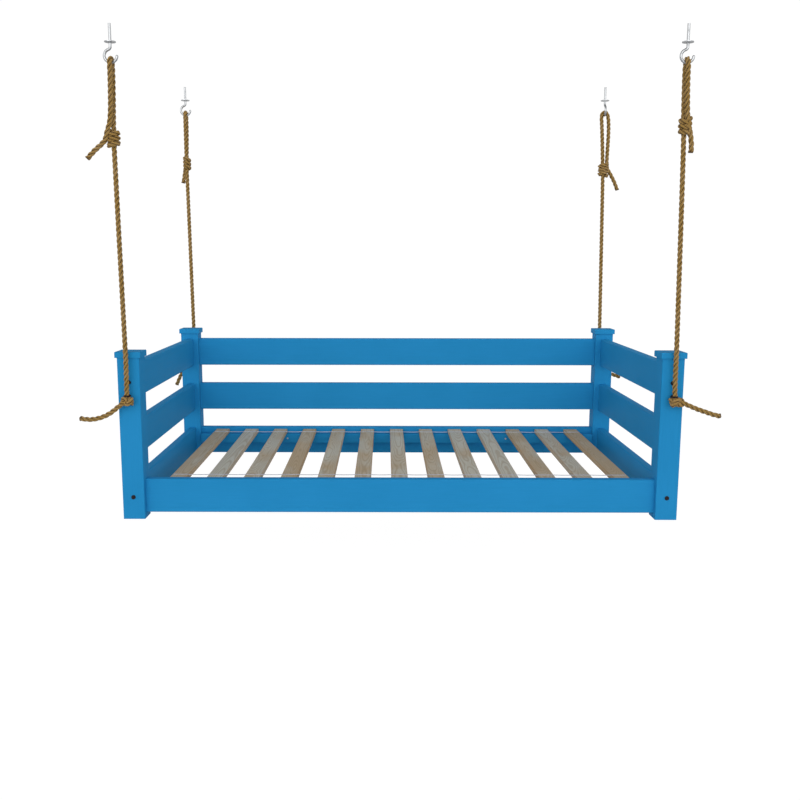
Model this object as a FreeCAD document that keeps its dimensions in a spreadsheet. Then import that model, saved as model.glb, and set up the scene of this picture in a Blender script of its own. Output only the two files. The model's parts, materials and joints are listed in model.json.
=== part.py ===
"""Hanging daybed swing: a painted timber frame with a slatted deck, hung from four ropes.

Millimetres, +Z up, +X along the frame, +Y from its open front to its back.  The origin is the middle
of the four ceiling studs, on the ceiling's face.  Most dimensions are first worked out in the swing's
own coordinates (x from the middle of the frame, y from the front of the posts, z from their feet) and
are then moved to the origin by to_row().
"""
import FreeCAD, Part
import math
import os

import Sketcher
from FreeCAD import Placement, Rotation, Vector

# ---------------------------------------------------------------- driving dimensions
SIZES = {
    # posts and caps
    "post_side": 82.5, "post_tall": 614, "post_edge": 4,
    "frame_long": 2095, "frame_deep": 1150,
    "cap_over": 6.5, "cap_thick": 22, "cap_edge": 3,
    # rails: the same board all round, centred on the posts
    "rail_thick": 35, "rail_tall": 130, "rail_edge": 5, "rail_low": 20, "rail_pitch": 219,
    # deck
    "slat_wide": 64, "slat_thick": 19, "slat_edge": 2, "slat_pitch": 143, "slat_gap": 1.75,
    "cleat_deep": 35, "cleat_tall": 44, "cleat_edge": 2, "cleat_base": 77, "cleat_gap": 2,
    "tape_wide": 5, "tape_thick": 0.8, "tape_inset": 78,
    "staple_wire": 0.5, "staple_span": 8, "staple_leg": 8,
    # rail fasteners
    "bolt_rad": 4, "bolt_into": 50, "bolt_hole": 4.2, "bolt_shift": 32,
    "head_rad": 8.2, "head_thick": 3.5, "head_edge": 1.2,
    "barrel_rad": 6, "barrel_long": 25, "barrel_back": 38, "barrel_hole": 6.1,
    "dowel_rad": 6, "dowel_long": 70, "dowel_hole": 6.05, "dowel_side": 35, "dowel_long_rail": 15,
    "screw_rad": 2.2, "screw_long": 55, "screw_head": 4.2, "screw_head_thick": 2.5, "screw_step": 357.4,
    # rope, eyes and ceiling hooks
    "rope_rad": 7.5, "eye_reach": 25, "eye_height": 476, "eye_ring": 12, "eye_wire": 2.75,
    "eye_shank": 3.5, "eye_sunk": 65,
    "bend_height": 625, "bend_gap": 1.4,
    "knot_wide": 26, "knot_deep": 23, "knot_tall": 17,
    "hitch_wide": 23, "hitch_deep": 23, "hitch_tall": 27,
    "ceiling_height": 1720, "rod_height": 1650, "hang_left": -1013, "hang_right": 990,
    "hook_bend": 22, "hook_wire": 5, "hook_neck": 10, "hook_open": -5,
    "flange_rad": 20, "flange_thick": 3, "stud_rad": 5, "stud_long": 60,
}
SLAT_COUNT = 13
CLEAT_SCREWS = 4
LEFT, RIGHT, FRONT, BACK = -1, 1, -1, 1
CORNERS = {"front_left": (LEFT, FRONT), "front_right": (RIGHT, FRONT),
           "back_left": (LEFT, BACK), "back_right": (RIGHT, BACK)}
LEVELS = {"low": 0, "middle": 1, "top": 2}

ALONG_X = Rotation(Vector(1, 1, 1), 120)    # a body's X, Y, Z become Y, Z, X
ALONG_Y = Rotation(Vector(1, 0, 0), -90)    # a body's X, Y, Z become X, -Z, Y
UPRIGHT = Rotation()

doc = FreeCAD.newDocument("PorchSwing")


def make_sheet():
    """Put every driving dimension in the spreadsheet, one alias per row."""
    sheet = doc.addObject("Spreadsheet::Sheet", "Params")
    for row, (alias, value) in enumerate(SIZES.items(), start=1):
        sheet.set(f"A{row}", alias)
        sheet.set(f"B{row}", str(value))
        sheet.setAlias(f"B{row}", alias)
    doc.recompute()
    return sheet


SHEET = make_sheet()
PARTS = []          # (node name, document object)


def size(alias):
    """The value of one cell of the sheet."""
    return float(SHEET.get(alias))


def keep(label, thing):
    """Name a sub-part and put it on the list of what is exported."""
    thing.Label = label
    PARTS.append((label, thing))
    return thing


# ---------------------------------------------------------------- places
HALF_LONG = size("frame_long") / 2
DEEP = size("frame_deep")
POST = size("post_side")
POST_X = HALF_LONG - POST / 2                       # middle of a post, from the frame's middle
RAIL_INNER = (POST + size("rail_thick")) / 2        # a rail's inner face, from the frame's outer face
DECK_TOP = size("cleat_base") + size("cleat_tall") + size("slat_thick")
HANG_MIDDLE = (size("hang_left") + size("hang_right")) / 2


def to_row(x, y, z):
    """Swing coordinates to the row's frame."""
    return Vector(x - HANG_MIDDLE, y - DEEP / 2, z - size("ceiling_height"))


def post_centre(side, end):
    """Middle of a post's foot in swing coordinates."""
    return side * POST_X, (POST / 2 if end == FRONT else DEEP - POST / 2)


def rail_middle(level):
    """Height of the middle of a rail."""
    return size("rail_low") + LEVELS[level] * size("rail_pitch") + size("rail_tall") / 2


# ---------------------------------------------------------------- building blocks
def origin_plane(body, role):
    """One of a body's own origin planes."""
    return next(item for item in body.Origin.OriginFeatures if item.Role == role)


def rectangle(body, name, across, up):
    """A rectangle about the body's origin, with its sides bound to the sheet."""
    sketch = body.newObject("Sketcher::SketchObject", name)
    sketch.AttachmentSupport = (origin_plane(body, "XY_Plane"), [""])
    sketch.MapMode = "FlatFace"
    corners = [Vector(-9, -9, 0), Vector(9, -9, 0), Vector(9, 9, 0), Vector(-9, 9, 0)]
    for start in range(4):
        sketch.addGeometry(Part.LineSegment(corners[start], corners[(start + 1) % 4]), False)
    for start in range(4):
        sketch.addConstraint(Sketcher.Constraint("Coincident", start, 2, (start + 1) % 4, 1))
    for line in (0, 2):
        sketch.addConstraint(Sketcher.Constraint("Horizontal", line))
    for line in (1, 3):
        sketch.addConstraint(Sketcher.Constraint("Vertical", line))
    sketch.addConstraint(Sketcher.Constraint("Symmetric", 0, 1, 2, 1, -1, 1))
    across_at = sketch.addConstraint(Sketcher.Constraint("DistanceX", 0, 1, 0, 2, 18))
    up_at = sketch.addConstraint(Sketcher.Constraint("DistanceY", 1, 1, 1, 2, 18))
    sketch.renameConstraint(across_at, "across")
    sketch.renameConstraint(up_at, "up")
    sketch.setExpression("Constraints.across", across)
    sketch.setExpression("Constraints.up", up)
    return sketch


def board(name, across, up, along, edge, rounded="long"):
    """A board: a rectangle padded along the body's Z, with its edges eased.

    rounded is "long" for the four long edges, or "all_but_base" for a cap.
    """
    body = doc.addObject("PartDesign::Body", name)
    sketch = rectangle(body, name + "_section", across, up)
    pad = body.newObject("PartDesign::Pad", name + "_pad")
    pad.Profile = sketch
    pad.setExpression("Length", along)
    doc.recompute()
    names = []
    for number, line in enumerate(pad.Shape.Edges, start=1):
        start, end = line.Vertexes[0].Point, line.Vertexes[-1].Point
        is_long = abs(start.z - end.z) > 1e-6
        at_base = max(start.z, end.z) < 1e-6
        if is_long or (rounded == "all_but_base" and not at_base):
            names.append(f"Edge{number}")
    fillet = body.newObject("PartDesign::Fillet", name + "_easing")
    fillet.Base = (pad, names)
    fillet.setExpression("Radius", edge)
    doc.recompute()
    return body


def bore(body, name, radius, depth, start, heading):
    """Drill a round hole from a point along a heading, in the body's own coordinates."""
    before = body.Shape.Volume
    drill = body.newObject("PartDesign::SubtractiveCylinder", name)
    drill.setExpression("Radius", radius)
    drill.setExpression("Height", depth)
    drill.Placement = Placement(start, Rotation(Vector(0, 0, 1), heading))
    doc.recompute()
    if body.Shape.Volume > before - 1:
        raise ValueError(name + " cut nothing")


def cylinder(name, radius, height, start, heading):
    """A round bar bound to the sheet."""
    bar = doc.addObject("Part::Cylinder", name)
    bar.setExpression("Radius", radius)
    bar.setExpression("Height", height)
    bar.Placement = Placement(start, Rotation(Vector(0, 0, 1), heading))
    return bar


def fused(name, members):
    """One solid from several that overlap."""
    joined = doc.addObject("Part::MultiFuse", name)
    joined.Shapes = members
    doc.recompute()
    return joined


def group(label, master, places):
    """Identical fasteners: copies of one master solid, kept as separate solids in one node."""
    doc.recompute()
    copies = []
    for place in places:
        copy = master.Shape.copy()
        copy.Placement = place.multiply(master.Placement)
        copies.append(copy)
    together = doc.addObject("Part::Feature", label + "_group")
    together.Shape = Part.makeCompound(copies)
    return keep(label, together)


def put(thing, x, y, z, turn=UPRIGHT):
    """Place a sub-part that is given in swing coordinates."""
    thing.Placement = Placement(to_row(x, y, z), turn)
    return thing


# ---------------------------------------------------------------- posts, caps and rails
def make_post(corner):
    """A square post, drilled for the rail bolts and, at the middle rails, for dowels."""
    side, end = CORNERS[corner]
    name = corner + "_post"
    post = board(name, "Params.post_side", "Params.post_side", "Params.post_tall", "Params.post_edge")
    through = "Params.post_side + 4"
    reach = POST / 2 + 2
    for level in ("low", "top"):
        at = rail_middle(level)
        bore(post, f"{name}_{level}_side_bolt", "Params.bolt_hole", through,
             Vector(0, -reach, at), Vector(0, 1, 0))
        if level == "low" or end == BACK:
            bore(post, f"{name}_{level}_long_bolt", "Params.bolt_hole", through,
                 Vector(-reach, 0, at + size("bolt_shift")), Vector(1, 0, 0))
    middle = rail_middle("middle")
    half = "Params.dowel_long / 2"
    for step in (-1, 1):
        bore(post, f"{name}_side_dowel_{step + 1}", "Params.dowel_hole", half,
             Vector(0, -end * POST / 2, middle + step * size("dowel_side")), Vector(0, end, 0))
        if end == BACK:
            bore(post, f"{name}_long_dowel_{step + 1}", "Params.dowel_hole", half,
                 Vector(-side * POST / 2, 0, middle + step * size("dowel_long_rail")), Vector(side, 0, 0))
    x, y = post_centre(side, end)
    keep(name, put(post, x, y, 0))


def make_cap(corner):
    """A flat square cap that overhangs its post, with eased edges."""
    side, end = CORNERS[corner]
    width = "Params.post_side + 2 * Params.cap_over"
    cap = board(corner + "_cap", width, width, "Params.cap_thick", "Params.cap_edge", "all_but_base")
    x, y = post_centre(side, end)
    keep(corner + "_cap", put(cap, x, y, size("post_tall")))


def make_rail(name, level, along, length, outer, shift, dowels):
    """A rail board, drilled at both ends for its bolts and barrel nuts, or for dowels.

    outer is the side of the board, in its own X, that the barrel nuts go in from; shift is how far the
    bolts lie from the board's middle, in its own Y, and dowels the same for a middle rail's dowels.
    """
    rail = board(name, "Params.rail_thick", "Params.rail_tall", along, "Params.rail_edge")
    for end, start, heading in (("near", 0, 1), ("far", length, -1)):
        if level == "middle":
            for step in (-1, 1):
                bore(rail, f"{name}_{end}_dowel_{step + 1}", "Params.dowel_hole", "Params.dowel_long / 2",
                     Vector(0, step * dowels, start), Vector(0, 0, heading))
            continue
        bore(rail, f"{name}_{end}_bolt", "Params.bolt_hole", "Params.bolt_into + 4",
             Vector(0, shift, start), Vector(0, 0, heading))
        bore(rail, f"{name}_{end}_barrel", "Params.barrel_hole",
             "Params.rail_thick / 2 + Params.barrel_long / 2",
             Vector(outer * size("rail_thick") / 2, shift, start + heading * size("barrel_back")),
             Vector(-outer, 0, 0))
    return rail


def make_long_rails():
    """The three back rails and the low front rail, which run along X between the posts."""
    length = 2 * HALF_LONG - 2 * POST
    along = "Params.frame_long - 2 * Params.post_side"
    rows = [("back", level, BACK) for level in LEVELS] + [("front", "low", FRONT)]
    for row, level, end in rows:
        name = f"{row}_{level}_rail"
        rail = make_rail(name, level, along, length, BACK, size("bolt_shift"), size("dowel_long_rail"))
        y = POST / 2 if end == FRONT else DEEP - POST / 2
        keep(name, put(rail, -length / 2, y, rail_middle(level), ALONG_X))


def make_side_rails():
    """Three rails on each side, which run along Y between the front and back posts."""
    length = DEEP - 2 * POST
    along = "Params.frame_deep - 2 * Params.post_side"
    for row, side in (("left", LEFT), ("right", RIGHT)):
        for level in LEVELS:
            name = f"{row}_{level}_rail"
            rail = make_rail(name, level, along, length, side, 0, size("dowel_side"))
            keep(name, put(rail, side * POST_X, POST, rail_middle(level), ALONG_Y))


# ---------------------------------------------------------------- rail fasteners
def joint_places(levels_side, levels_long):
    """Where rails meet posts: (point on the post's outer face, heading into the joint)."""
    places = []
    for side, end in CORNERS.values():
        x, y = post_centre(side, end)
        for level in levels_side:
            places.append((Vector(x, y + end * POST / 2, rail_middle(level)), Vector(0, -end, 0)))
        for level in levels_long:
            if level == "low" or end == BACK:
                lift = size("bolt_shift")
                places.append((Vector(x + side * POST / 2, y, rail_middle(level) + lift),
                               Vector(-side, 0, 0)))
    return places


def aimed(point, heading):
    """A placement that puts a master's Z along a heading, from swing coordinates."""
    return Placement(to_row(point.x, point.y, point.z), Rotation(Vector(0, 0, 1), heading))


def make_bolts():
    """The rail bolts, with flat round heads on the posts' outer faces, and their barrel nuts."""
    shank = cylinder("bolt_shank", "Params.bolt_rad", "Params.post_side + Params.bolt_into",
                     Vector(), Vector(0, 0, 1))
    head = cylinder("bolt_head", "Params.head_rad", "Params.head_thick",
                    Vector(0, 0, -size("head_thick")), Vector(0, 0, 1))
    doc.recompute()
    eased = doc.addObject("Part::Fillet", "bolt_head_eased")
    eased.Base = head
    rims = [number for number, line in enumerate(head.Shape.Edges, start=1)
            if abs(line.BoundBox.ZMax + size("head_thick")) < 1e-6]
    eased.Edges = [(number, size("head_edge"), size("head_edge")) for number in rims]
    bolt = fused("bolt", [shank, eased])
    joints = joint_places(("low", "top"), ("low", "top"))
    group("rail_bolts", bolt, [aimed(*joint) for joint in joints])

    body = cylinder("barrel_body", "Params.barrel_rad", "Params.barrel_long",
                    Vector(0, 0, -size("barrel_long") / 2), Vector(0, 0, 1))
    thread = cylinder("barrel_thread", "Params.bolt_rad + 0.05", "2 * Params.barrel_rad + 2",
                      Vector(-size("barrel_rad") - 1, 0, 0), Vector(1, 0, 0))
    barrel = doc.addObject("Part::Cut", "barrel_nut")
    barrel.Base = body
    barrel.Tool = thread
    places = []
    for point, heading in joints:
        deep = point + heading * (POST + size("barrel_back"))
        across = Vector(heading.y, heading.x, 0)
        turn = Rotation(heading, heading.cross(across), across, "XZY")
        places.append(Placement(to_row(deep.x, deep.y, deep.z), turn))
    group("barrel_nuts", barrel, places)


def make_dowels():
    """Glued dowels in the ends of the middle rails, two to a joint."""
    dowel = cylinder("dowel", "Params.dowel_rad", "Params.dowel_long - 0.6",
                     Vector(0, 0, 0.3 - size("dowel_long") / 2), Vector(0, 0, 1))
    places = []
    middle = rail_middle("middle")
    for side, end in CORNERS.values():
        x, y = post_centre(side, end)
        for step in (-1, 1):
            places.append(aimed(Vector(x, y - end * POST / 2, middle + step * size("dowel_side")),
                                Vector(0, 1, 0)))
            if end == BACK:
                lift = step * size("dowel_long_rail")
                places.append(aimed(Vector(x - side * POST / 2, y, middle + lift), Vector(1, 0, 0)))
    group("rail_dowels", dowel, places)


# ---------------------------------------------------------------- deck
def cleat_face(end):
    """The inner face of a low long rail, which a cleat is screwed to."""
    return RAIL_INNER if end == FRONT else DEEP - RAIL_INNER


def make_cleats():
    """A ledger along the inside of each low long rail, and the screws that hold it."""
    length = 2 * HALF_LONG - 2 * POST - 2 * size("cleat_gap")
    along = "Params.frame_long - 2 * Params.post_side - 2 * Params.cleat_gap"
    middle = size("cleat_base") + size("cleat_tall") / 2
    places = []
    for row, end in (("front", FRONT), ("back", BACK)):
        name = row + "_cleat"
        cleat = board(name, "Params.cleat_deep", "Params.cleat_tall", along, "Params.cleat_edge")
        inward = -end
        y = cleat_face(end) + inward * size("cleat_deep") / 2
        keep(name, put(cleat, -length / 2, y, middle, ALONG_X))
        for number in range(CLEAT_SCREWS):
            x = (number - (CLEAT_SCREWS - 1) / 2) * size("screw_step")
            face = cleat_face(end) + inward * size("cleat_deep")
            places.append(aimed(Vector(x, face, middle), Vector(0, end, 0)))
    shank = cylinder("screw_shank", "Params.screw_rad", "Params.screw_long", Vector(), Vector(0, 0, 1))
    head = cylinder("screw_head_disc", "Params.screw_head", "Params.screw_head_thick",
                    Vector(0, 0, -size("screw_head_thick")), Vector(0, 0, 1))
    group("cleat_screws", fused("cleat_screw", [shank, head]), places)


def make_slats():
    """Thirteen loose slats across the cleats."""
    length = DEEP - 2 * RAIL_INNER - 2 * size("slat_gap")
    along = f"Params.frame_deep - Params.post_side - Params.rail_thick - 2 * Params.slat_gap"
    for number in range(SLAT_COUNT):
        name = f"slat_{number + 1:02d}"
        slat = board(name, "Params.slat_wide", "Params.slat_thick", along, "Params.slat_edge")
        x = (number - (SLAT_COUNT - 1) / 2) * size("slat_pitch")
        y = (DEEP - length) / 2
        keep(name, put(slat, x, y, DECK_TOP - size("slat_thick") / 2, ALONG_Y))


def make_tapes():
    """Two thin tapes over the slats, which keep their spacing, and a staple at each crossing."""
    span = (SLAT_COUNT - 1) * size("slat_pitch") + size("slat_wide") - 10
    places = []
    for row, end in (("front", FRONT), ("back", BACK)):
        y = cleat_face(end) - end * size("tape_inset")
        tape = doc.addObject("Part::Box", row + "_tape")
        tape.Length = span
        tape.setExpression("Width", "Params.tape_wide")
        tape.setExpression("Height", "Params.tape_thick")
        keep(row + "_tape", put(tape, -span / 2, y - size("tape_wide") / 2, DECK_TOP))
        for number in range(SLAT_COUNT):
            x = (number - (SLAT_COUNT - 1) / 2) * size("slat_pitch")
            places.append(Placement(to_row(x, y, DECK_TOP + size("tape_thick")), UPRIGHT))
    half, wire = size("staple_span") / 2, size("staple_wire")
    crown = doc.addObject("Part::Box", "staple_crown")
    crown.setExpression("Length", "2 * Params.staple_wire")
    crown.setExpression("Width", "Params.staple_span")
    crown.setExpression("Height", "Params.staple_wire")
    crown.Placement.Base = Vector(-wire, -half, 0)
    legs = []
    for row, y in (("near", -half), ("far", half - wire)):
        leg = doc.addObject("Part::Box", "staple_leg_" + row)
        leg.setExpression("Length", "2 * Params.staple_wire")
        leg.setExpression("Width", "Params.staple_wire")
        leg.setExpression("Height", "Params.staple_leg")
        leg.Placement.Base = Vector(-wire, y, wire - size("staple_leg"))
        legs.append(leg)
    group("tape_staples", fused("staple", [crown] + legs), places)


# ---------------------------------------------------------------- eyes and ceiling hooks
def eye_centre(corner):
    """Middle of the ring that a rope passes down through, in swing coordinates."""
    side, end = CORNERS[corner]
    reach = size("eye_reach")
    return Vector(side * POST_X, -reach if end == FRONT else DEEP + reach, size("eye_height"))


def hook_point(corner):
    """The point of a hook's rod that its rope hangs from, in swing coordinates."""
    side, end = CORNERS[corner]
    x = size("hang_left") if side == LEFT else size("hang_right")
    return Vector(x, eye_centre(corner).y, size("rod_height"))


def make_eyes():
    """Screw eyes in the posts, each with its ring lying level."""
    ring = doc.addObject("Part::Torus", "eye_ring_torus")
    ring.setExpression("Radius1", "Params.eye_ring")
    ring.setExpression("Radius2", "Params.eye_wire")
    shank = cylinder("eye_shank_bar", "Params.eye_shank",
                     "Params.eye_sunk + Params.eye_reach - Params.eye_ring",
                     Vector(0, size("eye_ring"), 0), Vector(0, 1, 0))
    eye = fused("screw_eye", [ring, shank])
    places = []
    for corner, (side, end) in CORNERS.items():
        turn = UPRIGHT if end == FRONT else Rotation(Vector(0, 0, 1), 180)
        point = eye_centre(corner)
        places.append(Placement(to_row(point.x, point.y, point.z), turn))
    group("screw_eyes", eye, places)


def sweep(name, edges, radius):
    """A round bar along a wire of straight runs and arcs, with its radius bound to the sheet."""
    wire = Part.Wire(edges)
    route = doc.addObject("Part::Feature", name + "_route")
    route.Shape = wire
    start = edges[0]
    ring = doc.addObject("Part::Circle", name + "_ring")
    ring.setExpression("Radius", radius)
    ring.Placement = Placement(start.valueAt(start.FirstParameter),
                               Rotation(Vector(0, 0, 1), start.tangentAt(start.FirstParameter)))
    bar = doc.addObject("Part::Sweep", name + "_sweep")
    bar.Sections = [ring]
    bar.Spine = (route, [f"Edge{number + 1}" for number in range(len(wire.Edges))])
    bar.Solid = True
    bar.Frenet = False
    doc.recompute()
    expected = math.pi * ring.Radius.Value ** 2 * wire.Length
    if abs(bar.Shape.Volume / expected - 1) > 0.01:
        raise ValueError(f"{name}: swept volume {bar.Shape.Volume:.0f}, expected {expected:.0f}")
    return bar


def arc_edge(start, middle, end):
    """A circular arc through three points."""
    return Part.Arc(start, middle, end).toShape()


def make_hooks():
    """Four screw hooks in the ceiling; the back right one is turned a quarter."""
    bend, neck = size("hook_bend"), size("hook_neck")
    rise = math.sqrt((bend + neck) ** 2 - neck ** 2)
    centre = Vector(0, 0, bend)
    neck_centre = Vector(-neck, 0, bend + rise)
    touch = centre + (neck_centre - centre) * (bend / (bend + neck))
    top = Vector(0, 0, size("ceiling_height") - size("rod_height"))
    elbow = Vector(0, 0, bend + rise)
    halfway = neck_centre + ((elbow - neck_centre) + (touch - neck_centre)).normalize() * neck
    tip = math.radians(size("hook_open"))
    end = centre + Vector(bend * math.cos(tip), 0, bend * math.sin(tip))
    far = math.radians(-115)
    middle = centre + Vector(bend * math.cos(far), 0, bend * math.sin(far))
    edges = [Part.LineSegment(top, elbow).toShape(), arc_edge(elbow, halfway, touch),
             arc_edge(touch, middle, end)]
    rod = sweep("hook_rod", edges, "Params.hook_wire")
    ball = doc.addObject("Part::Sphere", "hook_tip")
    ball.setExpression("Radius", "Params.hook_wire")
    ball.Placement.Base = end
    flange = cylinder("hook_flange", "Params.flange_rad", "Params.flange_thick",
                      top - Vector(0, 0, size("flange_thick")), Vector(0, 0, 1))
    stud = cylinder("hook_stud", "Params.stud_rad", "Params.stud_long", top, Vector(0, 0, 1))
    hook = fused("ceiling_hook", [rod, ball, flange, stud])
    places = []
    for corner in CORNERS:
        turn = Rotation(Vector(0, 0, 1), 90 if corner == "back_right" else 0)
        point = hook_point(corner)
        places.append(Placement(to_row(point.x, point.y, point.z), turn))
    group("ceiling_hooks", hook, places)


# ---------------------------------------------------------------- ropes
# Each hanging line is listed from its bend at the cap up to the hook, over it and back down to the
# hitch, and out along its tail.  Points are millimetres from the hook point; the first is worked out
# from the frame.  Each foot line is listed from below the eye, through the knot and out along its tail,
# in millimetres from the middle of the eye.
OVER_HOOK = [(0, 16.5, -62), (0, 16.5, 13), (0, -16.5, 13), (0, -16.5, -62)]
HANG_ROUTES = {
    "front_left": [(2, 1, -312), (0, 7, -230)] + OVER_HOOK
    + [(-5, -14, -194), (-22, -12, -238), (-28, -9, -262), (-46, -6, -279), (-71, -4, -298),
       (-96, -2, -324)],
    "front_right": [(4, 1, -270), (0, 7, -186)] + OVER_HOOK
    + [(6, -13, -176), (14, -10, -216), (23, -7, -240), (26, -5, -260), (30, -3, -280), (29, -2, -302)],
    "back_left": [(1, -1, -283), (0, -7, -202)] + [(x, -y, z) for x, y, z in OVER_HOOK]
    + [(-3, 13, -194), (-8, 11, -233), (-13, 10, -256), (-17, 9, -275), (-19, 9, -294), (-24, 8, -314)],
    "back_right": [(4, 0, -310), (1, 0, -236), (-9, 0, -60), (-16.5, 0, 15), (16.5, 0, 15), (24, 0, -66)]
    + [(19, 0, -208), (22, 2, -247), (36, 4, -266), (49, 5, -288), (63, 6, -313), (76, 6, -346)],
}
FOOT_ROUTES = {
    "front_left": [(0, 0, -4), (-7, -2, -23), (-26, -5, -34), (-44, -8, -49), (-63, -11, -64),
                   (-89, -13, -77), (-119, -14, -85), (-147, -13, -87), (-175, -12, -83)],
    "front_right": [(0, 0, -4), (8, -2, -20), (33, -5, -23), (57, -8, -34), (89, -11, -47),
                    (124, -12, -58), (152, -12, -68), (176, -11, -73)],
    "back_left": [(0, 0, -4), (-7, 3, -23), (-27, 6, -33), (-49, 9, -48), (-67, 9, -67), (-81, 8, -93),
                  (-95, 7, -128)],
    "back_right": [(0, 0, -4), (7, 3, -24), (25, 6, -40), (45, 9, -57), (67, 9, -72), (89, 8, -79),
                   (110, 7, -86)],
}
KNOT_MIDDLES = {"front_left": (1, 0, -20), "front_right": (7, 0, -20),
                "back_left": (-2, 0, -20), "back_right": (2, 0, -20)}
HITCH_MIDDLES = {"front_left": (-3, -4, -260), "front_right": (6, -4, -215),
                 "back_left": (-3, 4, -229), "back_right": (10, 1, -253)}


def tube_edges(name, points):
    """Straight runs joined by tangent arcs, each arc as large as its two runs allow."""
    edges, here, radii = [], points[0], []
    for before, corner, after in zip(points, points[1:], points[2:]):
        back, ahead = before - corner, after - corner
        run = min(back.Length, ahead.Length)
        half_turn = (math.pi - back.getAngle(ahead)) / 2
        cut = 0.45 * run
        radius = cut / math.tan(half_turn)
        radii.append(round(radius))
        enter = corner + Vector(back).normalize() * cut
        leave = corner + Vector(ahead).normalize() * cut
        to_centre = ((enter + leave) * 0.5 - corner).normalize()
        depth = radius / math.cos(half_turn) - radius
        edges.append(Part.LineSegment(here, enter).toShape())
        edges.append(arc_edge(enter, corner + to_centre * depth, leave))
        here = leave
    edges.append(Part.LineSegment(here, points[-1]).toShape())
    print(f"{name}: arc radii {radii} mm, length {sum(edge.Length for edge in edges):.0f} mm")
    return edges


def ellipsoid(name, kind, centre):
    """A knot's outer shape, with its half sizes bound to the sheet."""
    ball = doc.addObject("Part::Ellipsoid", name)
    ball.setExpression("Radius1", f"Params.{kind}_tall")
    ball.setExpression("Radius2", f"Params.{kind}_wide")
    ball.setExpression("Radius3", f"Params.{kind}_deep")
    ball.Placement.Base = to_row(centre.x, centre.y, centre.z)
    return keep(name, ball)


def make_ropes():
    """Every rope's hanging line, hitch, foot line and stopper knot."""
    for corner in CORNERS:
        hook, eye = hook_point(corner), eye_centre(corner)
        bend = Vector(eye.x, eye.y, size("bend_height"))
        gap = Vector(0, 0, size("bend_gap"))

        points = [bend + gap] + [hook + Vector(*point) for point in HANG_ROUTES[corner]]
        points = [to_row(point.x, point.y, point.z) for point in points]
        name = corner + "_rope"
        keep(name, sweep(name, tube_edges(name, points), "Params.rope_rad"))
        ellipsoid(corner + "_hitch", "hitch", hook + Vector(*HITCH_MIDDLES[corner]))

        points = [bend - gap] + [eye + Vector(*point) for point in FOOT_ROUTES[corner]]
        points = [to_row(point.x, point.y, point.z) for point in points]
        name = corner + "_foot_rope"
        keep(name, sweep(name, tube_edges(name, points), "Params.rope_rad"))
        ellipsoid(corner + "_knot", "knot", eye + Vector(*KNOT_MIDDLES[corner]))


# ---------------------------------------------------------------- build and export
def check_and_export():
    """Refuse a failed object or a bad shape, then write one STEP file for each sub-part."""
    doc.recompute()
    for thing in doc.Objects:
        if any(state in ("Invalid", "Error") for state in thing.State):
            raise ValueError(f"{thing.Name} failed: {thing.State}")
    for name, thing in PARTS:
        if thing.Shape.isNull() or not thing.Shape.isValid() or not thing.Shape.Solids:
            raise ValueError(name + " has no valid solid")
    os.makedirs("parts", exist_ok=True)
    for name, thing in PARTS:
        thing.Shape.exportStep(f"parts/{name}.step")
    print(f"{len(PARTS)} sub-parts, {sum(len(thing.Shape.Solids) for _, thing in PARTS)} solids")


for corner_name in CORNERS:
    make_post(corner_name)
    make_cap(corner_name)
make_long_rails()
make_side_rails()
make_bolts()
make_dowels()
make_cleats()
make_slats()
make_tapes()
make_eyes()
make_hooks()
make_ropes()
check_and_export()
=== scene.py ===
"""Visual model of a daybed swing: painted timber frame, bare slatted deck, four laid ropes.

Metres, +Z up, +X along the swing, +Y from its open front to its back.  The origin is the middle of the
four ceiling studs, on the ceiling's face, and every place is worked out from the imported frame.
"""

import json
import logging
import math
from dataclasses import dataclass, field
from enum import Enum
from typing import Any, Sequence, Union

import bmesh
import bpy
from mathutils import Matrix, Vector


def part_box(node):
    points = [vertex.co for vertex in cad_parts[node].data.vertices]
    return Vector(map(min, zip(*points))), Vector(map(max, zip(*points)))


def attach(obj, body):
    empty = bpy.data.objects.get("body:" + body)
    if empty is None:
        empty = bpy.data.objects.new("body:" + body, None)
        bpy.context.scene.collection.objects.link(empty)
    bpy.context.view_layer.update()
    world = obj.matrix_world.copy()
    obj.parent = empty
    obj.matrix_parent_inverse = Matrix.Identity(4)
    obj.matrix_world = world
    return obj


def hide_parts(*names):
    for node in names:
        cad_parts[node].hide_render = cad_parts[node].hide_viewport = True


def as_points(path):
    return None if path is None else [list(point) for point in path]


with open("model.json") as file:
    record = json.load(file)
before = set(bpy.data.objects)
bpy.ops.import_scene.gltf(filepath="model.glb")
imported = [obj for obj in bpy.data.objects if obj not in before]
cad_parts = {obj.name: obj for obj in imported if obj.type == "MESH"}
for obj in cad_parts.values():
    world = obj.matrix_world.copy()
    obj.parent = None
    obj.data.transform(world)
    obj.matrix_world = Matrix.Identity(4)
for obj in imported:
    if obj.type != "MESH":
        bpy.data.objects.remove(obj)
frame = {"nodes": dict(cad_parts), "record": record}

LOG = logging.getLogger("swing")
MM = 0.001
Number = Union[int, float]
Colour = tuple[float, float, float]
FINISHES: dict[str, bpy.types.Material] = {}


def srgb(red: int, green: int, blue: int) -> Colour:
    """Turn a colour given in display values into linear light.

    Args:
        red: from 0 to 255, as green and blue.
        green: see red.
        blue: see red.

    Returns:
        The linear colour.
    """
    def linear(value: int) -> float:
        """One channel."""
        share = value / 255
        return share / 12.92 if share <= 0.04045 else ((share + 0.055) / 1.055) ** 2.4
    return linear(red), linear(green), linear(blue)


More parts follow.
